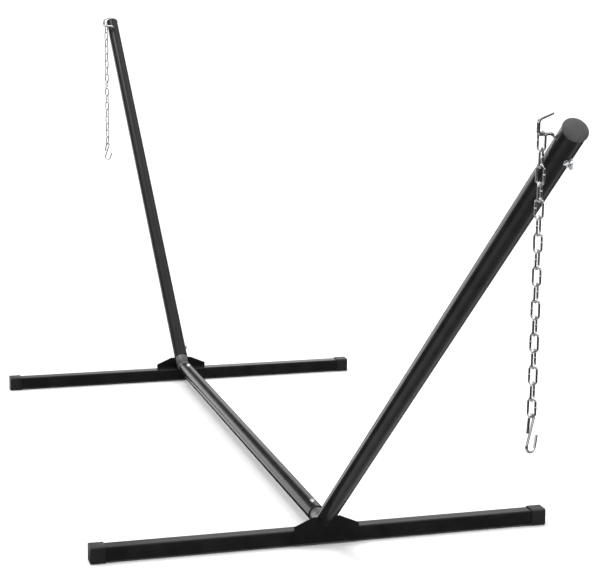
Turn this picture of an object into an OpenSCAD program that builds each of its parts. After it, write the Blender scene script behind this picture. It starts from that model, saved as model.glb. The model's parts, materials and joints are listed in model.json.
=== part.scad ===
// Steel hammock stand: a straight beam on two square foot bars, two leaning arms,
// and a hook, a chain and an S-hook hanging from each arm. Ends are named a (+X) and b (-X).

/* [Foot bars] */
// Length of a foot bar over its end caps
foot_length = 1200; // [900:10:1400]
// Side of the square foot tube
foot_side = 38; // [36:1:42]
// Distance between the centre lines of the two foot bars
foot_spacing = 1732; // [1400:1:2000]
// Wall thickness of the foot tube
foot_wall = 1.5; // [1.2:0.1:2]
// How far the foot cap stands out from the tube on every side
cap_proud = 3; // [2:0.5:3]
// Length of tube that a foot cap covers
cap_cover = 35; // [25:1:45]

/* [Beam and arms] */
// Outer diameter of the beam and of the arms
tube_dia = 45; // [43.5:0.1:46]
// Wall thickness of the beam and of the arms
tube_wall = 1.5; // [1.5:0.1:1.8]
// Outer diameter of the elbow that joins beam and arm
elbow_dia = 41; // [40:0.1:41]
// Height of the beam's centre line above the floor
beam_height = 51.5; // [50:0.1:53]
// Angle of an arm above the floor
arm_angle = 39.2; // [36:0.1:41]
// Length along an arm's centre line, from the bend's corner to the tube's end
arm_reach = 1790; // [1500:1:2000]

/* [Gusset plates] */
// Length of the gusset plate along the foot bar
gusset_length = 170; // [160:1:200]
// Height of a gusset plate above the foot tube
gusset_rise = 33; // [30:1:36]
// Thickness of a gusset plate
gusset_thick = 4; // [3:0.5:4]

/* [Hook bolts] */
// Diameter of the hook bolt's rod
hook_dia = 6.5; // [6:0.1:7]
// Distance from the arm tube's end down to the hook bolt
hook_drop = 60; // [50:1:70]

/* [Chains] */
// Number of links in each chain
link_count = 17; // [17:1:17]
// Outer length of a link
link_length = 37; // [36:0.5:38]
// Outer width of a link
link_width = 17.5; // [17:0.5:18]
// Diameter of the link's wire
link_wire = 4; // [3.6:0.1:4.1]
// Gap left between two links where they hang on each other
hang_gap = 0.3; // [0.3:0.05:0.4]

/* [S-hooks] */
// Diameter of the S-hook's wire
s_wire = 5; // [4.8:0.1:5]
// Bend radius of the narrow hook, to the wire's centre
s_small = 6.2; // [5.8:0.1:6.4]
// Bend radius of the wide hook, to the wire's centre
s_large = 11.3; // [9:0.1:12]

/* [Hidden] */

black_paint = "#1c1c1e";
black_plastic = "#4c4c50";
grey_steel = "#75767a";
bright_zinc = "#c9ccd0";

// round stretches: facets of a tube, of a wire and of a bend, in the preview only
$fn = 48;
wire_fn = 24;
bend_ball = 0.05;

// foot bar
foot_z = cap_proud;
foot_top = foot_z + foot_side;
foot_corner = 4;
cap_end = 3;
cap_gap = 0.2;
bar_length = foot_length - 2 * cap_end;

// elbow and sleeves
bend_radius = 90;
bend_inset = 9.5;
sleeve_in = 65;
arm_start = 36;
elbow_grip = 90;
elbow_wall = 1.5;
saddle_gap = 0.3;
corner_x = foot_spacing / 2 - bend_inset;
bend_tangent = bend_radius * tan(arm_angle / 2);
beam_end = foot_spacing / 2 - sleeve_in;
elbow_inner = beam_end - elbow_grip;
elbow_outer = arm_start + elbow_grip;

// beam bolts and arm screws
bolt_r = 4;
bolt_hole_r = 4.25;
bolt_set_in = 42;
head_r = 7;
head_h = 4.4;
nut_r = 7.5;
nut_h = 6.5;
bolt_tail = 4;
screw_length = 17;
weld_nut_out = 17.2;

// arm cap
plug_gap = 0.2;
plug_depth = 22;
rim_r = tube_dia / 2 + 1.2;
rim_h = 5;
dome_h = 4;

// hook bolt, in a frame on the arm's centre line
hook_r = hook_dia / 2;
hook_tilt = 12;
hook_arm_t = arm_reach - hook_drop;
hook_out = 26.8;
hook_tail = 38;
hook_bend = 8;
seat_bend = 6.5;
seat_turn = 26.7;
seat_run = 23.8;
spine_run = 13;
tip_turn = 68;
tip_bend = 9;
tip_run = 22;
washer_r = 9;
washer_h = 1.6;
hook_nut_r = 7.4;
hook_nut_h = 6;

// unit vectors of the arm, of its upward normal, of the hook bolt and of its seat
arm_dir = [cos(arm_angle), 0, sin(arm_angle)];
arm_up = [-sin(arm_angle), 0, cos(arm_angle)];
bolt_dir = arm_up * cos(hook_tilt) + [0, -sin(hook_tilt), 0];
seat_dir = [sin(seat_turn), -cos(seat_turn), 0];
seat_angle = acos(bolt_dir * seat_dir);
hook_base = [corner_x, 0, beam_height] + arm_dir * hook_arm_t;
hook_corner = hook_base + bolt_dir * (hook_out + hook_bend * tan(seat_angle / 2));

// chain: where the first link hangs, and how each link hangs on the one above
link_r = link_wire / 2;
link_bend = (link_width - link_wire) / 2;
link_straight = link_length - link_width;
link_centre_length = link_length - link_wire;
link_pitch = link_centre_length - link_wire - hang_gap;
seat_along = hook_bend * tan(seat_angle / 2) + seat_run - 3;
seat = hook_corner + seat_dir * seat_along;
first_top = seat[2] + hook_r + hang_gap + link_r;
chain_turn = 44;

// S-hook
s_r = s_wire / 2;
s_leg = 27;
s_leg_tilt = 6;
s_slope = 19;
s_spine = 47;
s_close = 188;
s_tip = 19;
s_turn = 118;
s_pivot_drop = s_small - s_r - link_r - hang_gap;

// A rod of radius r along +Z. Each step is [straight run, roll about the rod, bend angle,
// bend radius]; a bend turns the rod towards +X of the rolled frame. A ball a hair larger
// than the rod joins the stretches at each end of a bend.
module bent_rod(r, steps, ball = bend_ball, i = 0) {
    if (i < len(steps)) {
        run = steps[i][0];
        roll = steps[i][1];
        bend = steps[i][2];
        radius = steps[i][3];
        if (run > 0)
            cylinder(r = r, h = run);
        translate([0, 0, run]) rotate([0, 0, roll]) {
            if (bend > 0) {
                translate([radius, 0, 0]) rotate([90, 0, 180])
                    rotate_extrude(angle = bend, $fn = 96)
                        translate([radius, 0]) circle(r = r, $fn = r > 10 ? 48 : wire_fn);
                if (ball > 0)
                    sphere(r = r + ball);
            }
            translate([radius, 0, 0]) rotate([0, bend, 0]) translate([-radius, 0, 0]) {
                if (bend > 0 && ball > 0)
                    sphere(r = r + ball);
                bent_rod(r, steps, ball, i + 1);
            }
        }
    }
}

// a frame whose +Z runs along the unit vector d and whose +X lies towards the vector x
module aim(origin, d, x) {
    y0 = cross(d, x);
    y = y0 / norm(y0);
    nx = cross(y, d);
    multmatrix([
        [nx[0], y[0], d[0], origin[0]],
        [nx[1], y[1], d[1], origin[1]],
        [nx[2], y[2], d[2], origin[2]],
        [0, 0, 0, 1],
    ]) children();
}

// end a as it stands, end b mirrored
module at_end(side) {
    if (side == "a")
        children();
    else
        mirror([1, 0, 0]) children();
}

module rounded_square(side, r) {
    inner = side - 2 * r;
    square([side, inner], center = true);
    square([inner, side], center = true);
    for (x = [-1, 1], y = [-1, 1])
        translate([x * inner / 2, y * inner / 2]) circle(r = r, $fn = 32);
}

// the elbow's centre line from the beam side, as a rod of radius r
module elbow_rod(r, grow = 0) {
    translate([elbow_inner - grow, 0, beam_height]) rotate([0, 90, 0]) rotate([0, 0, 180])
        bent_rod(r, [
            [corner_x - bend_tangent - elbow_inner + grow, 0, arm_angle, bend_radius],
            [elbow_outer - bend_tangent + grow, 0, 0, 0],
        ]);
}

// frames where a bolt crosses the beam and a screw enters the arm, +Z out of the tube
module on_beam_bolt() {
    translate([beam_end - bolt_set_in, 0, beam_height]) children();
}

module on_arm_screw() {
    aim([corner_x, 0, beam_height] + arm_dir * (arm_start + bolt_set_in), [0, 1, 0], arm_dir)
        children();
}

module beam_hole() {
    on_beam_bolt() cylinder(r = bolt_hole_r, h = 80, center = true);
}

module arm_hole() {
    on_arm_screw() cylinder(r = bolt_hole_r, h = 40);
}

module foot_bar(side) {
    color(black_paint) at_end(side)
        difference() {
            translate([foot_spacing / 2, 0, foot_z + foot_side / 2]) rotate([90, 0, 0])
                difference() {
                    linear_extrude(height = bar_length, center = true)
                        rounded_square(foot_side, foot_corner);
                    linear_extrude(height = bar_length + 2, center = true)
                        rounded_square(foot_side - 2 * foot_wall, foot_corner - foot_wall);
                }
            elbow_rod(elbow_dia / 2 + saddle_gap);
        }
}

module foot_cap(side, hand) {
    cap_side = foot_side + 2 * cap_proud;
    color(black_plastic) at_end(side)
        translate([foot_spacing / 2, 0, foot_z + foot_side / 2]) scale([1, hand, 1])
            rotate([-90, 0, 0]) difference() {
                translate([0, 0, bar_length / 2 - cap_cover])
                    linear_extrude(height = cap_cover + cap_end)
                        rounded_square(cap_side, foot_corner + 2);
                translate([0, 0, bar_length / 2 - cap_cover - 1])
                    linear_extrude(height = cap_cover + 1)
                        rounded_square(foot_side + 2 * cap_gap, foot_corner + cap_gap);
            }
}

module gusset(side) {
    half = gusset_length / 2;
    flat = 34;
    shoulder = foot_top + 11;
    top = foot_top + gusset_rise;
    low = foot_z + foot_corner;
    color(black_paint) at_end(side)
        difference() {
            translate([foot_spacing / 2 + foot_side / 2, 0, 0]) rotate([90, 0, 90])
                linear_extrude(height = gusset_thick)
                    polygon([
                        [-half, low], [half, low], [half, shoulder], [flat, top],
                        [-flat, top], [-half, shoulder],
                    ]);
            elbow_rod(elbow_dia / 2 + saddle_gap);
            aim([corner_x, 0, beam_height] + arm_dir * (arm_start - saddle_gap), arm_dir, -arm_up)
                cylinder(r = tube_dia / 2 + saddle_gap, h = 100);
        }
}

module elbow(side) {
    color(grey_steel) at_end(side)
        difference() {
            elbow_rod(elbow_dia / 2);
            elbow_rod(elbow_dia / 2 - elbow_wall, 1);
            beam_hole();
            arm_hole();
        }
}

module beam() {
    color(black_paint)
        difference() {
            translate([0, 0, beam_height]) rotate([0, 90, 0])
                cylinder(r = tube_dia / 2, h = 2 * beam_end, center = true);
            translate([0, 0, beam_height]) rotate([0, 90, 0])
                cylinder(r = tube_dia / 2 - tube_wall, h = 2 * beam_end + 2, center = true);
            for (side = ["a", "b"])
                at_end(side) beam_hole();
        }
}

module arm(side) {
    color(black_paint) at_end(side)
        difference() {
            aim([corner_x, 0, beam_height], arm_dir, -arm_up) difference() {
                translate([0, 0, arm_start])
                    cylinder(r = tube_dia / 2, h = arm_reach - arm_start);
                translate([0, 0, arm_start - 1])
                    cylinder(r = tube_dia / 2 - tube_wall, h = arm_reach - arm_start + 2);
            }
            arm_hole();
            aim(hook_base, bolt_dir, arm_dir)
                cylinder(r = hook_r + 0.25, h = 80, center = true);
        }
}

module arm_cap(side) {
    color(black_plastic) at_end(side)
        aim([corner_x, 0, beam_height] + arm_dir * arm_reach, arm_dir, -arm_up) {
            cylinder(r = rim_r, h = rim_h - 2);
            translate([0, 0, rim_h - 2])
                rotate_extrude() intersection() {
                    translate([0, -rim_r * rim_r / 2 / dome_h + dome_h / 2])
                        circle(r = rim_r * rim_r / 2 / dome_h + dome_h / 2, $fn = 360);
                    square([rim_r, dome_h + 1]);
                }
            translate([0, 0, -plug_depth]) difference() {
                cylinder(r = tube_dia / 2 - tube_wall - plug_gap, h = plug_depth);
                translate([0, 0, -1])
                    cylinder(r = tube_dia / 2 - tube_wall - plug_gap - 2.5, h = plug_depth);
            }
        }
}

// button head with its hexagon socket, on a shank of the given length below the tube's skin
module button_screw(shank) {
    difference() {
        union() {
            translate([0, 0, tube_dia / 2 + 0.1]) cylinder(r1 = head_r, r2 = head_r - 2.5, h = head_h);
            translate([0, 0, tube_dia / 2 - shank]) cylinder(r = bolt_r, h = shank + 0.1);
        }
        translate([0, 0, tube_dia / 2 + head_h - 2.4]) cylinder(r = 2.9, h = 4, $fn = 6);
    }
}

// hexagon nut whose outer face is at height z
module nut(z) {
    translate([0, 0, z - nut_h]) difference() {
        cylinder(r = nut_r, h = nut_h, $fn = 6);
        translate([0, 0, -1]) cylinder(r = bolt_r + 0.05, h = nut_h + 2);
    }
}

module beam_bolts() {
    color(bright_zinc) for (side = ["a", "b"])
        at_end(side) on_beam_bolt() button_screw(tube_dia + nut_h + bolt_tail);
}

module beam_nuts() {
    color(bright_zinc) for (side = ["a", "b"])
        at_end(side) on_beam_bolt() nut(-tube_dia / 2 - 0.1);
}

module arm_screws() {
    color(bright_zinc) for (side = ["a", "b"])
        at_end(side) on_arm_screw() button_screw(screw_length);
}

// nuts held inside the elbow, which the arm screws turn into
module arm_weld_nuts() {
    color(grey_steel) for (side = ["a", "b"])
        at_end(side) on_arm_screw() nut(weld_nut_out);
}

// rod through the arm, out of its upper side, along the seat, up, and back with an open tip
module hook_bolt(side) {
    color(bright_zinc) at_end(side)
        aim(hook_base - bolt_dir * hook_tail, bolt_dir, seat_dir)
            bent_rod(hook_r, [
                [hook_tail + hook_out, 0, seat_angle, hook_bend],
                [seat_run, hook_up_roll(), 90, seat_bend],
                [spine_run, hook_tip_roll(), tip_turn, tip_bend],
                [tip_run, 0, 0, 0],
            ]);
}

// the roll that turns the seat's bend upwards, from the frame's +X after the first bend
function hook_up_roll() =
    let (
        x = (seat_dir * cos(seat_angle) - bolt_dir) / sin(seat_angle),
        y = cross(seat_dir, x)
    ) atan2(y[2], x[2]);
// after the upward bend the frame's +X points back against the seat's direction
function hook_tip_roll() =
    let (
        x = -seat_dir,
        y = cross([0, 0, 1], x),
        tip = [0, 1, 0]
    ) atan2(y * tip, x * tip);

module hook_washer() {
    translate([0, 0, -tube_dia / 2 - washer_h - 0.2]) difference() {
        cylinder(r = washer_r, h = washer_h);
        translate([0, 0, -1]) cylinder(r = hook_r + 0.3, h = washer_h + 2);
    }
}

module hook_nut() {
    translate([0, 0, -tube_dia / 2 - washer_h - hook_nut_h - 0.4]) difference() {
        cylinder(r = hook_nut_r, h = hook_nut_h, $fn = 6);
        translate([0, 0, -1]) cylinder(r = hook_r + 0.05, h = hook_nut_h + 2);
    }
}

module hook_washers() {
    color(bright_zinc) for (side = ["a", "b"])
        at_end(side) aim(hook_base, bolt_dir, arm_dir) hook_washer();
}

module hook_nuts() {
    color(bright_zinc) for (side = ["a", "b"])
        at_end(side) aim(hook_base, bolt_dir, arm_dir) hook_nut();
}

// link number n from the top: odd links are broad the way the chain is turned, even links across it
module link(side, n) {
    color(bright_zinc) at_end(side)
        translate([seat[0], seat[1], first_top - (n - 1) * link_pitch - link_centre_length / 2])
            rotate([0, 0, chain_turn + (n % 2 == 1 ? 0 : 90)])
                translate([-link_bend, 0, -link_straight / 2])
                    bent_rod(link_r, [
                        [link_straight, 0, 180, link_bend],
                        [link_straight, 0, 180, link_bend],
                    ], ball = 0);
}

// S-hook: its short leg, the narrow bend, the sloping spine, the wide bend and the open tip
module s_hook(side) {
    pivot_z = first_top - (link_count - 1) * link_pitch - link_centre_length;
    color(bright_zinc) at_end(side)
        translate([seat[0], seat[1], pivot_z - s_pivot_drop]) rotate([0, 0, s_turn])
            rotate([0, s_leg_tilt, 0]) translate([-s_small, 0, -s_leg])
                bent_rod(s_r, [
                    [s_leg, 0, 180 + s_slope - s_leg_tilt, s_small],
                    [s_spine, 180, s_close, s_large],
                    [s_tip, 0, 0, 0],
                ]);
}

foot_bar("a");  // foot_bar_a
foot_bar("b");  // foot_bar_b
foot_cap("a", -1);  // foot_cap_a_left
foot_cap("a", 1);  // foot_cap_a_right
foot_cap("b", -1);  // foot_cap_b_left
foot_cap("b", 1);  // foot_cap_b_right
gusset("a");  // gusset_a
gusset("b");  // gusset_b
elbow("a");  // elbow_a
elbow("b");  // elbow_b
beam();
arm("a");  // arm_a
arm("b");  // arm_b
arm_cap("a");  // arm_cap_a
arm_cap("b");  // arm_cap_b
beam_bolts();
beam_nuts();
arm_screws();
arm_weld_nuts();
hook_bolt("a");  // hook_bolt_a
hook_bolt("b");  // hook_bolt_b
hook_washers();
hook_nuts();
link("a", 1);  // link_a_01
link("a", 2);  // link_a_02
link("a", 3);  // link_a_03
link("a", 4);  // link_a_04
link("a", 5);  // link_a_05
link("a", 6);  // link_a_06
link("a", 7);  // link_a_07
link("a", 8);  // link_a_08
link("a", 9);  // link_a_09
link("a", 10);  // link_a_10
link("a", 11);  // link_a_11
link("a", 12);  // link_a_12
link("a", 13);  // link_a_13
link("a", 14);  // link_a_14
link("a", 15);  // link_a_15
link("a", 16);  // link_a_16
link("a", 17);  // link_a_17
s_hook("a");  // s_hook_a
link("b", 1);  // link_b_01
link("b", 2);  // link_b_02
link("b", 3);  // link_b_03
link("b", 4);  // link_b_04
link("b", 5);  // link_b_05
link("b", 6);  // link_b_06
link("b", 7);  // link_b_07
link("b", 8);  // link_b_08
link("b", 9);  // link_b_09
link("b", 10);  // link_b_10
link("b", 11);  // link_b_11
link("b", 12);  // link_b_12
link("b", 13);  // link_b_13
link("b", 14);  // link_b_14
link("b", 15);  // link_b_15
link("b", 16);  // link_b_16
link("b", 17);  // link_b_17
s_hook("b");  // s_hook_b
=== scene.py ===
"""Looks of the steel hammock stand: powder-coated tubes, moulded caps, zinc hooks and chains,
with the welds, threads, chamfers and bend folds that the solids leave out."""
import json
import math
import random

import bmesh
import bpy
from mathutils import Matrix, Vector


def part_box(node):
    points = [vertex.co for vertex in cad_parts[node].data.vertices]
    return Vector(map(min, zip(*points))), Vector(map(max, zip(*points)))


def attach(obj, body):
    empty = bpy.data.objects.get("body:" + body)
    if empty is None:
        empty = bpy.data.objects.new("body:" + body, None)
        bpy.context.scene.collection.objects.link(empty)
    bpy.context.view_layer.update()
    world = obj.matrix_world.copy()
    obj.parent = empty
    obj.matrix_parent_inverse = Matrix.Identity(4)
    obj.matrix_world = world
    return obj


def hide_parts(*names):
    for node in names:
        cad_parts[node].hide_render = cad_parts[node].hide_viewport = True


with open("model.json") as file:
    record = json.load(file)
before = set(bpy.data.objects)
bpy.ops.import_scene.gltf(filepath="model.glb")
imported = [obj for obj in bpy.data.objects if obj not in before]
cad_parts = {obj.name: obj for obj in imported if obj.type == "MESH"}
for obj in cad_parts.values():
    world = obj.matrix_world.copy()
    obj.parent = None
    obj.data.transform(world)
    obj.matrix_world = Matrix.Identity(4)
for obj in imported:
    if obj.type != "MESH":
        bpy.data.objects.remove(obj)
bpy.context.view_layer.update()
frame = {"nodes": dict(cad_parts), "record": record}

MM = 0.001
ENDS = {"a": 1, "b": -1}
SIDES = {"left": -1, "right": 1}
X, Y, Z = Vector((1, 0, 0)), Vector((0, 1, 0)), Vector((0, 0, 1))
dice = random.Random(41)

# sizes shared with the solids, in metres
HOOK_DROP = 60 * MM
HOOK_TILT = math.radians(12)
HOOK_ROD = 3.25 * MM
HOOK_TAIL = 38 * MM
WASHER = 1.8 * MM
HOOK_NUT = (7.4 * MM, 6 * MM)
BEAM_NUT = (7.5 * MM, 6.5 * MM)
BEAM_ROD = 4 * MM
BEAM_TAIL = 4 * MM
BOLT_SET_IN = 42 * MM
ARM_START = 36 * MM
BEND_RADIUS = 90 * MM

# small things that only the looks have
ARM_CAP_EDGE = 1.1 * MM
FOOT_CAP_EDGE = 0.7 * MM
BEAM_LIP = (1.0 * MM, 2.0 * MM)  # how far the lip's middle stands off the elbow, the lip's own radius
ARM_LIP = (0.9 * MM, 1.5 * MM)
LIP_PAST_TUBE = 0.3 * MM
FOLDS = [  # share of the bend, height in mm, half width and offset in degrees
    (0.10, 1.3, 50, 12),
    (0.32, 2.3, 66, -8),
    (0.55, 2.0, 72, 6),
    (0.80, 1.6, 55, -14),
]
SEAM_PROFILE = [  # height in mm from a link's middle, thickness as a share of its wire
    (-2.4, 0.98), (-1.7, 1.05), (-1.0, 1.11), (-0.4, 1.14),
    (0.3, 1.13), (1.0, 1.10), (1.7, 1.04), (2.4, 0.98),
]
NUT_PLAY = 0.05 * MM
PLATE_SEAM = (30 * MM, 78 * MM)  # where the seam behind the gusset plate starts and ends, from the middle

# grains of the finishes, in noise periods per metre
SHADE_SCALE = 18
GLOSS_SCALE = 60


# ---------------------------------------------------------------- finishes

def finish_material(name, shades, gloss, grain, metallic=0.0, specular=0.5, bump=0.05):
    """A finish whose colour drifts between two shades and whose gloss and relief follow a grain.
    gloss is the lowest and highest roughness, grain the size of one grain in metres."""
    mat = bpy.data.materials.new(name)
    mat.use_nodes = True
    nodes, links = mat.node_tree.nodes, mat.node_tree.links
    shader = nodes["Principled BSDF"]
    shader.inputs["Metallic"].default_value = metallic
    shader.inputs["Specular IOR Level"].default_value = specular
    place = nodes.new("ShaderNodeTexCoord")

    def noise(scale, detail):
        node = nodes.new("ShaderNodeTexNoise")
        node.inputs["Scale"].default_value = scale
        node.inputs["Detail"].default_value = detail
        links.new(place.outputs["Object"], node.inputs["Vector"])
        return node.outputs["Fac"]

    drift = nodes.new("ShaderNodeValToRGB")
    drift.color_ramp.elements[0].position = 0.35
    drift.color_ramp.elements[1].position = 0.65
    for stop, shade in zip(drift.color_ramp.elements, shades):
        stop.color = (*shade, 1)
    links.new(noise(SHADE_SCALE, 3), drift.inputs["Fac"])
    links.new(drift.outputs["Color"], shader.inputs["Base Color"])

    sheen = nodes.new("ShaderNodeMapRange")
    sheen.inputs["From Min"].default_value = 0.3
    sheen.inputs["From Max"].default_value = 0.7
    sheen.inputs["To Min"].default_value, sheen.inputs["To Max"].default_value = gloss
    links.new(noise(GLOSS_SCALE, 4), sheen.inputs["Value"])
    links.new(sheen.outputs["Result"], shader.inputs["Roughness"])

    relief = nodes.new("ShaderNodeBump")
    relief.inputs["Strength"].default_value = bump
    relief.inputs["Distance"].default_value = grain * 0.25
    links.new(noise(1 / grain, 2), relief.inputs["Height"])
    links.new(relief.outputs["Normal"], shader.inputs["Normal"])
    return mat


FINISHES = {
    "black_paint": finish_material("black_paint", ((0.009, 0.009, 0.0096), (0.013, 0.013, 0.014)),
                                   (0.14, 0.22), 0.7 * MM, specular=0.14, bump=0.03),
    "black_plastic": finish_material("black_plastic", ((0.026, 0.026, 0.028), (0.062, 0.062, 0.066)),
                                     (0.34, 0.50), 0.6 * MM, specular=0.4, bump=0.12),
    "grey_steel": finish_material("grey_steel", ((0.035, 0.035, 0.038), (0.12, 0.12, 0.125)),
                                  (0.24, 0.42), 2.2 * MM, specular=0.45, bump=0.25),
    "bright_zinc": finish_material("bright_zinc", ((0.66, 0.67, 0.69), (0.80, 0.81, 0.82)),
                                   (0.03, 0.09), 2.5 * MM, metallic=1.0, bump=0.03),
}
FOOT_PLASTIC = finish_material("foot_plastic", ((0.011, 0.011, 0.012), (0.016, 0.016, 0.017)),
                               (0.32, 0.46), 0.6 * MM, specular=0.3, bump=0.1)
SLOT_OF = {row["node"]: row["material_slot"] for row in frame["record"]["subparts"]}


def smooth(obj, angle=32):
    for face in obj.data.polygons:
        face.use_smooth = True
    obj.data.set_sharp_from_angle(angle=math.radians(angle))


def dress(obj, slot):
    obj.data.materials.clear()
    obj.data.materials.append(FINISHES[slot])


for node, obj in frame["nodes"].items():
    dress(obj, SLOT_OF[node])


# ---------------------------------------------------------------- mesh helpers

def piece(name, verts, faces, slot, body="stand", replaced=None):
    """A new mesh piece that rides on a CAD body and takes one of the record's finishes."""
    mesh = bpy.data.meshes.new(name)
    mesh.from_pydata([tuple(v) for v in verts], [], faces)
    mesh.validate()
    bm = bmesh.new()
    bm.from_mesh(mesh)
    bmesh.ops.recalc_face_normals(bm, faces=bm.faces)
    bm.to_mesh(mesh)
    bm.free()
    obj = bpy.data.objects.new(name, mesh)
    bpy.context.scene.collection.objects.link(obj)
    smooth(obj)
    dress(obj, slot)
    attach(obj, body)
    if replaced:
        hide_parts(replaced)
    return obj


def sweep(path, radii, sides=10):
    """Vertices and faces of a rod along the points of path, with a radius at each point."""
    verts, faces = [], []
    normal = None
    for i, point in enumerate(path):
        ahead = (path[min(i + 1, len(path) - 1)] - path[max(i - 1, 0)]).normalized()
        if normal is None:
            normal = ahead.orthogonal().normalized()
        normal = (normal - ahead * normal.dot(ahead)).normalized()
        across = ahead.cross(normal)
        for k in range(sides):
            turn = math.tau * k / sides
            verts.append(point + (normal * math.cos(turn) + across * math.sin(turn)) * radii[i])
    for i in range(len(path) - 1):
        for k in range(sides):
            j = (k + 1) % sides
            faces.append((i * sides + k, i * sides + j, (i + 1) * sides + j, (i + 1) * sides + k))
    faces.append(tuple(range(sides))[::-1])
    last = (len(path) - 1) * sides
    faces.append(tuple(last + k for k in range(sides)))
    return verts, faces


def lathe_rows(rows, count, closed):
    """Faces between rows of count vertices each; closed joins the last row to the first."""
    faces = []
    for i in range(rows if closed else rows - 1):
        n = (i + 1) % rows
        for k in range(count):
            j = (k + 1) % count
            faces.append((i * count + k, i * count + j, n * count + j, n * count + k))
    return faces


def joined(parts):
    """Several (vertices, faces) pairs as one."""
    verts, faces = [], []
    for part_verts, part_faces in parts:
        start = len(verts)
        verts += part_verts
        faces += [tuple(start + i for i in face) for face in part_faces]
    return verts, faces


def moved(part, matrix):
    return [matrix @ v for v in part[0]], part[1]


def frame_at(origin, z_dir, x_hint):
    """The matrix of a frame at origin whose +Z is z_dir and whose +X lies towards x_hint."""
    z_dir = z_dir.normalized()
    y_dir = z_dir.cross(x_hint).normalized()
    turn = Matrix((y_dir.cross(z_dir), y_dir, z_dir)).transposed()
    return Matrix.Translation(origin) @ turn.to_4x4()


def mirrored(part, sign):
    return [Vector((v.x * sign, v.y, v.z)) for v in part[0]], part[1]


# ---------------------------------------------------------------- lines of the frame, from the solids

def leaning_axis(node):
    """Lower end, direction and length of a tube that leans in the XZ plane, from its box."""
    low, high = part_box(node)
    size, dia = high - low, high.y - low.y
    lean = math.radians(40)
    for _ in range(30):
        lean = math.atan2(size.z - dia * math.cos(lean), size.x - dia * math.sin(lean))
    along = Vector((math.cos(lean), 0, math.sin(lean)))
    length = (size.z - dia * math.cos(lean)) / math.sin(lean)
    return (low + high) / 2 - along * length / 2, along, length, lean


arm_low, arm_dir, arm_length, arm_lean = leaning_axis("arm_a")
arm_up = Vector((-arm_dir.z, 0, arm_dir.x))
arm_top = arm_low + arm_dir * arm_length
tube_r = (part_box("beam")[1].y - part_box("beam")[0].y) / 2
beam_z = (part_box("beam")[1].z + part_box("beam")[0].z) / 2
beam_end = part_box("beam")[1].x
corner = arm_low - arm_dir * ARM_START
elbow_r = (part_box("elbow_a")[1].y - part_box("elbow_a")[0].y) / 2
bend_centre = corner + Vector((-BEND_RADIUS * math.tan(arm_lean / 2), 0, BEND_RADIUS))
gusset_low, gusset_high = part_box("gusset_a")
bar_low, bar_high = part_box("foot_bar_a")
bolt_dir = arm_up * math.cos(HOOK_TILT) - Y * math.sin(HOOK_TILT)
hook_base = arm_top - arm_dir * HOOK_DROP


def elbow_point(run):
    """Centre line of elbow a, its direction and its inner side, run metres past the bend's start."""
    bend = BEND_RADIUS * arm_lean
    turn = min(max(run, 0), bend) / BEND_RADIUS
    ahead = Vector((math.cos(turn), 0, math.sin(turn)))
    inside = Vector((-math.sin(turn), 0, math.cos(turn)))
    extra = run - turn * BEND_RADIUS
    return bend_centre - inside * BEND_RADIUS + ahead * extra, ahead, inside


def elbow_skin(turn, place, reached):
    """The point of elbow a's skin, turn round from its inner side, where place(point) reaches a value."""
    low, high = -0.08, 0.16
    for _ in range(40):
        run = (low + high) / 2
        centre, _, inside = elbow_point(run)
        skin = centre + (inside * math.cos(turn) + Y * math.sin(turn)) * elbow_r
        low, high = (run, high) if place(skin) < reached else (low, run)
    return skin


# ---------------------------------------------------------------- welds and folds

def bead(path, radius):
    """A rippled weld bead along a path."""
    radii = [radius * (1 + 0.16 * math.sin(1.9 * i) + dice.uniform(-0.07, 0.07)) for i in range(len(path))]
    radii[0] *= 0.4
    radii[-1] *= 0.4
    return sweep(path, radii, sides=8)


def straight(start, end, step=1.3 * MM):
    count = max(4, round((end - start).length / step))
    return [start.lerp(end, i / count) for i in range(count + 1)]


def elbow_seam(first, last, place, reached, keep, radius):
    """A bead on elbow a's skin, from one angle round it to another, where place(point) reaches a value."""
    turns = [math.radians(first + (last - first) * i / 100) for i in range(101)]
    path = [elbow_skin(turn, place, reached) for turn in turns]
    return bead([p for p in path if keep(p)], radius)


def gusset_welds():
    """Beads of the gusset plate and of the elbow where it enters the foot bar's top."""
    plate_top = gusset_high.z - 1.5 * MM
    face = gusset_high.x
    inner_x = bar_high.x - 1.6 * MM
    seam_z = bar_high.z + 0.4 * MM
    ends = [bead(straight(Vector((bar_high.x + 1 * MM, y, bar_low.z + 6 * MM)),
                          Vector((bar_high.x + 1 * MM, y, bar_high.z - 5 * MM))), 2.0 * MM)
            for y in (gusset_low.y, gusset_high.y)]
    seams = [bead(straight(*(Vector((inner_x, hand * y, seam_z)) for y in PLATE_SEAM)), 2.2 * MM)
             for hand in SIDES.values()]
    front = elbow_seam(95, 265, lambda p: p.x, face, lambda p: p.z < plate_top, 2.2 * MM)
    saddle = elbow_seam(122, 238, lambda p: p.z, bar_high.z + 0.5 * MM,
                        lambda p: bar_low.x - 1 * MM < p.x < bar_high.x, 2.4 * MM)
    return joined([front, saddle, *ends, *seams])


def elbow_folds():
    """Shallow folds that the bending left on the elbow's inner side."""
    folds = []
    for place, height, spread, aside in FOLDS:
        centre, _, inside = elbow_point(BEND_RADIUS * arm_lean * place)
        shares = [2 * i / 30 - 1 for i in range(31)]
        turns = [math.radians(aside + spread * share) for share in shares]
        path = [centre + (inside * math.cos(t) + Y * math.sin(t)) * (elbow_r - 0.2 * MM) for t in turns]
        heights = [max(0.15, height * math.cos(share * math.pi / 2)) for share in shares]
        folds.append(sweep(path, [h * MM for h in heights]))
    return joined(folds)


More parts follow.
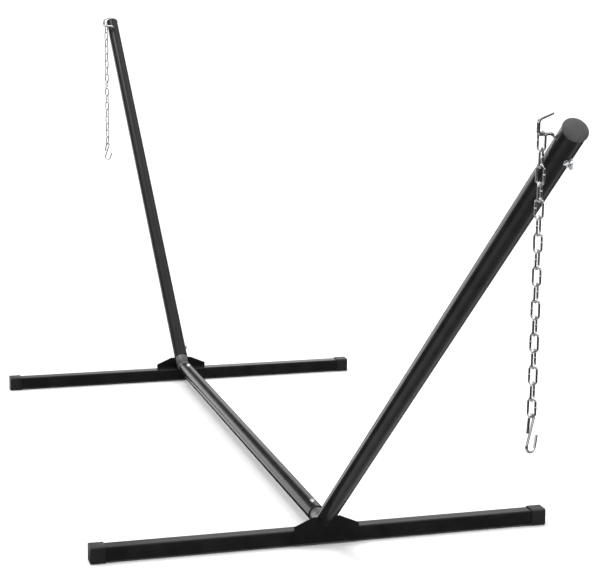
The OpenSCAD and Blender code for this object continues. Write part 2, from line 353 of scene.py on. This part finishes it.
def ring(centre, ahead, radius, thickness, count=96):
    """A round ring about the direction ahead."""
    side = frame_at(centre, ahead, Y)
    verts, rows = [], 12
    for i in range(rows):
        turn = math.tau * i / rows
        out, along = radius + thickness * math.cos(turn), thickness * math.sin(turn)
        for k in range(count):
            round_turn = math.tau * k / count
            verts.append(side @ Vector((out * math.cos(round_turn), out * math.sin(round_turn), along)))
    return verts, lathe_rows(rows, count, closed=True)


def elbow_lips():
    """Rolled lips of the beam's and the arm's tube where the elbow enters them."""
    beam_lip = ring(Vector((beam_end + LIP_PAST_TUBE, 0, beam_z)), X, elbow_r + BEAM_LIP[0], BEAM_LIP[1])
    arm_lip = ring(arm_low - arm_dir * LIP_PAST_TUBE, arm_dir, elbow_r + ARM_LIP[0], ARM_LIP[1])
    return joined([beam_lip, arm_lip])


welds = gusset_welds()
folds = elbow_folds()
lips = elbow_lips()
for end, sign in ENDS.items():
    piece(f"weld_beads_{end}", *mirrored(welds, sign), "black_paint")
    piece(f"elbow_folds_{end}", *mirrored(folds, sign), "grey_steel")
    piece(f"elbow_lips_{end}", *mirrored(lips, sign), "black_paint")


# ---------------------------------------------------------------- nuts and threads

def hex_nut(corner_r, height, hole_r, count=96):
    """A hexagon nut with chamfered corners on both faces and a countersunk hole, base at z = 0."""
    flat_r = corner_r * math.cos(math.pi / 6)
    face_r = flat_r * 0.97
    rows = [[] for _ in range(8)]
    for k in range(count):
        turn = math.tau * k / count
        off = (turn + math.pi / 6) % (math.pi / 3) - math.pi / 6
        out = flat_r / math.cos(off)
        drop = (out - face_r) * math.tan(math.radians(30))
        radii = [hole_r, hole_r + 0.5 * MM, face_r, out, out, face_r, hole_r + 0.5 * MM, hole_r]
        heights = [0.5 * MM, 0, 0, drop, height - drop, height, height, height - 0.5 * MM]
        for row, r, z in zip(rows, radii, heights):
            row.append(Vector((r * math.cos(turn), r * math.sin(turn), z)))
    return [v for row in rows for v in row], lathe_rows(8, count, closed=True)


def thread(rod_r, start, end, pitch=1.25 * MM):
    """A thread's ridge round a rod along +Z."""
    steps = max(24, int(abs(end - start) / pitch * 28))
    path = []
    for i in range(steps + 1):
        turn = math.tau * (end - start) / pitch * i / steps
        height = start + (end - start) * i / steps
        path.append(Vector((rod_r * math.cos(turn), rod_r * math.sin(turn), height)))
    radii = [0.32 * MM * min(1, 0.2 + i / 10, 0.2 + (steps - i) / 10) for i in range(steps + 1)]
    return sweep(path, radii, sides=6)


hook_frame = frame_at(hook_base, bolt_dir, arm_dir)
beam_frame = frame_at(Vector((beam_end - BOLT_SET_IN, 0, beam_z)), Z, X)
beam_base_z = -tube_r - BEAM_NUT[1] - 0.1 * MM
hook_base_z = -tube_r - WASHER - HOOK_NUT[1] - 0.2 * MM
beam_nut = moved(hex_nut(*BEAM_NUT, BEAM_ROD + NUT_PLAY),
                 beam_frame @ Matrix.Translation((0, 0, beam_base_z)))
beam_thread = moved(thread(BEAM_ROD, beam_base_z - BEAM_TAIL + 0.6 * MM, beam_base_z - 0.2 * MM), beam_frame)
hook_nut = moved(hex_nut(*HOOK_NUT, HOOK_ROD + NUT_PLAY),
                 hook_frame @ Matrix.Translation((0, 0, hook_base_z)))
hook_thread = moved(thread(HOOK_ROD, -HOOK_TAIL + 0.4 * MM, hook_base_z - 0.3 * MM, 1.0 * MM), hook_frame)
piece("beam_nuts_chamfered", *joined([mirrored(beam_nut, s) for s in ENDS.values()]), "bright_zinc",
      replaced="beam_nuts")
piece("hook_nuts_chamfered", *joined([mirrored(hook_nut, s) for s in ENDS.values()]), "bright_zinc",
      replaced="hook_nuts")
for end, sign in ENDS.items():
    piece(f"beam_thread_{end}", *mirrored(beam_thread, sign), "bright_zinc")
    piece(f"hook_thread_{end}", *mirrored(hook_thread, sign), "bright_zinc")


# ---------------------------------------------------------------- butt welds of the links

def link_sides(node):
    """The middles of a link's two straight sides, and the wire's radius, from its mesh."""
    points = [v.co for v in frame["nodes"][node].data.vertices]
    middle = sum(points, Vector()) / len(points)
    flat = [Vector((p.x - middle.x, p.y - middle.y, 0)) for p in points]
    angle = 0.5 * math.atan2(2 * sum(p.x * p.y for p in flat), sum(p.x ** 2 - p.y ** 2 for p in flat))
    broad = Vector((math.cos(angle), math.sin(angle), 0))
    thin = Z.cross(broad)
    wire = (max(p.dot(thin) for p in flat) - min(p.dot(thin) for p in flat)) / 2
    reach = (max(p.dot(broad) for p in flat) - min(p.dot(broad) for p in flat)) / 2 - wire
    low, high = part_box(node)
    centre = (low + high) / 2
    return [centre - broad * reach, centre + broad * reach], wire


for node in sorted(frame["nodes"]):
    if node.startswith("link_"):
        sides, wire = link_sides(node)
        place = dice.choice(sides)
        path = [place + Z * (z * MM) for z, _ in SEAM_PROFILE]
        radii = [wire * share for _, share in SEAM_PROFILE]
        piece(f"{node}_seam", *sweep(path, radii, sides=20), "bright_zinc", body=node)


# ---------------------------------------------------------------- rounded edges of the caps

def softened(node, width, finish, angle=35):
    """A copy of a CAD node with its sharp edges rounded, shown in its place."""
    source = frame["nodes"][node]
    bm = bmesh.new()
    bm.from_mesh(source.data)
    bmesh.ops.remove_doubles(bm, verts=bm.verts, dist=1e-6)
    bmesh.ops.dissolve_limit(bm, angle_limit=math.radians(0.5), verts=bm.verts, edges=bm.edges)
    sharp = [e for e in bm.edges if len(e.link_faces) == 2 and e.calc_face_angle(0) > math.radians(angle)]
    bmesh.ops.bevel(bm, geom=sharp, offset=width, segments=3, profile=0.5, affect="EDGES", clamp_overlap=True)
    mesh = bpy.data.meshes.new(node + "_rounded")
    bm.to_mesh(mesh)
    bm.free()
    obj = bpy.data.objects.new(node + "_rounded", mesh)
    bpy.context.scene.collection.objects.link(obj)
    smooth(obj, 40)
    mesh.materials.append(finish)
    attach(obj, "stand")
    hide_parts(node)


for end in ENDS:
    softened(f"arm_cap_{end}", ARM_CAP_EDGE, FINISHES["black_plastic"])
    for hand in SIDES:
        softened(f"foot_cap_{end}_{hand}", FOOT_CAP_EDGE, FOOT_PLASTIC)


# ---------------------------------------------------------------- floor, light and camera

def floor():
    """A pale floor that mirrors leave out: they see the studio's darker lower half instead."""
    half, drop = 150, 0.4 * MM
    corners = [(-half, -half), (half, -half), (half, half), (-half, half)]
    mesh = bpy.data.meshes.new("floor")
    mesh.from_pydata([(x, y, -drop) for x, y in corners], [], [(0, 1, 2, 3)])
    obj = bpy.data.objects.new("floor", mesh)
    bpy.context.scene.collection.objects.link(obj)
    obj.visible_glossy = False
    mesh.materials.append(finish_material("floor", ((0.90, 0.90, 0.90), (0.92, 0.92, 0.92)), (0.85, 0.95),
                                          3 * MM, specular=0.1, bump=0.01))


WORLD_LEVELS = [  # height of the direction looked in, from -1 at the bottom to 1 at the top, and its level
    (-1.0, 0.04), (-0.93, 0.08), (-0.86, 0.30), (-0.66, 0.34), (-0.58, 0.02), (-0.02, 0.02),
    (0.01, 0.52), (0.24, 0.48), (0.31, 0.03), (0.50, 0.04), (0.62, 0.80), (1.0, 0.90),
]
SOFT_BOXES = [  # where each is as seen from the stand, its inner and outer radius in degrees, its level
    ((-0.955, -0.26, -0.04), 12, 18, 0.90),
    ((-0.25, 0.93, -0.19), 4, 8, 0.60),
    ((0.49, -0.85, -0.15), 3, 6, 0.50),
    ((-0.90, 0.28, 0.33), 6, 11, 0.45),
    ((-0.82, 0.46, -0.34), 5, 9, 0.40),
]


def studio_world():
    """A wide ceiling light, walls that are pale only near eye height, and the soft boxes."""
    world = bpy.data.worlds.new("studio")
    bpy.context.scene.world = world
    world.use_nodes = True
    nodes, links = world.node_tree.nodes, world.node_tree.links

    def linked(kind, value, socket, **settings):
        node = nodes.new(kind)
        for key, setting in settings.items():
            setattr(node, key, setting)
        links.new(value, node.inputs[socket])
        return node

    sight = nodes.new("ShaderNodeTexCoord").outputs["Generated"]
    height = linked("ShaderNodeSeparateXYZ", sight, "Vector").outputs["Z"]
    share = linked("ShaderNodeMapRange", height, "Value")
    share.inputs["From Min"].default_value = -1
    ramp = linked("ShaderNodeValToRGB", share.outputs["Result"], "Fac")
    elements = ramp.color_ramp.elements
    while len(elements) < len(WORLD_LEVELS):
        elements.new(0.5)
    for element, (z, level) in zip(elements, WORLD_LEVELS):
        element.position = (z + 1) / 2
        element.color = (level, level, level, 1)
    total = ramp.outputs["Color"]
    for direction, inner, outer, level in SOFT_BOXES:
        near = linked("ShaderNodeVectorMath", sight, 0, operation="DOT_PRODUCT")
        near.inputs[1].default_value = Vector(direction).normalized()
        box = linked("ShaderNodeMapRange", near.outputs["Value"], "Value", interpolation_type="SMOOTHSTEP")
        box.inputs["From Min"].default_value = math.cos(math.radians(outer))
        box.inputs["From Max"].default_value = math.cos(math.radians(inner))
        box.inputs["To Max"].default_value = level
        added = linked("ShaderNodeVectorMath", total, 0, operation="ADD")
        links.new(box.outputs["Result"], added.inputs[1])
        total = added.outputs["Vector"]
    nodes["Background"].inputs["Strength"].default_value = 2
    links.new(total, nodes["Background"].inputs["Color"])


def sun(direction, strength, width):
    light = bpy.data.lights.new("key", "SUN")
    light.energy = strength
    light.angle = math.radians(width)
    obj = bpy.data.objects.new("key", light)
    obj.rotation_euler = Vector(direction).to_track_quat("-Z", "Y").to_euler()
    bpy.context.scene.collection.objects.link(obj)


def camera():
    """The view from beyond end a, a little above it, down along the stand."""
    data = bpy.data.cameras.new("camera")
    data.sensor_width = 36
    data.lens = 101.16
    data.clip_end = 500
    yaw, pitch, roll = 0.2795, 0.1932, 0.01
    ahead = Vector((-math.cos(yaw) * math.cos(pitch), math.sin(yaw) * math.cos(pitch), -math.sin(pitch)))
    right = ahead.cross(Z).normalized()
    up = right.cross(ahead)
    turned = Matrix((right * math.cos(roll) + up * math.sin(roll),
                     up * math.cos(roll) - right * math.sin(roll), -ahead)).transposed()
    obj = bpy.data.objects.new("camera", data)
    obj.matrix_world = Matrix.Translation((4.7719, -1.1913, 1.4562)) @ turned.to_4x4()
    bpy.context.scene.collection.objects.link(obj)
    bpy.context.scene.camera = obj


floor()
studio_world()
sun((0.35, 0.30, -0.89), 0.95, 22)
camera()
bpy.context.scene.view_settings.view_transform = "Standard"
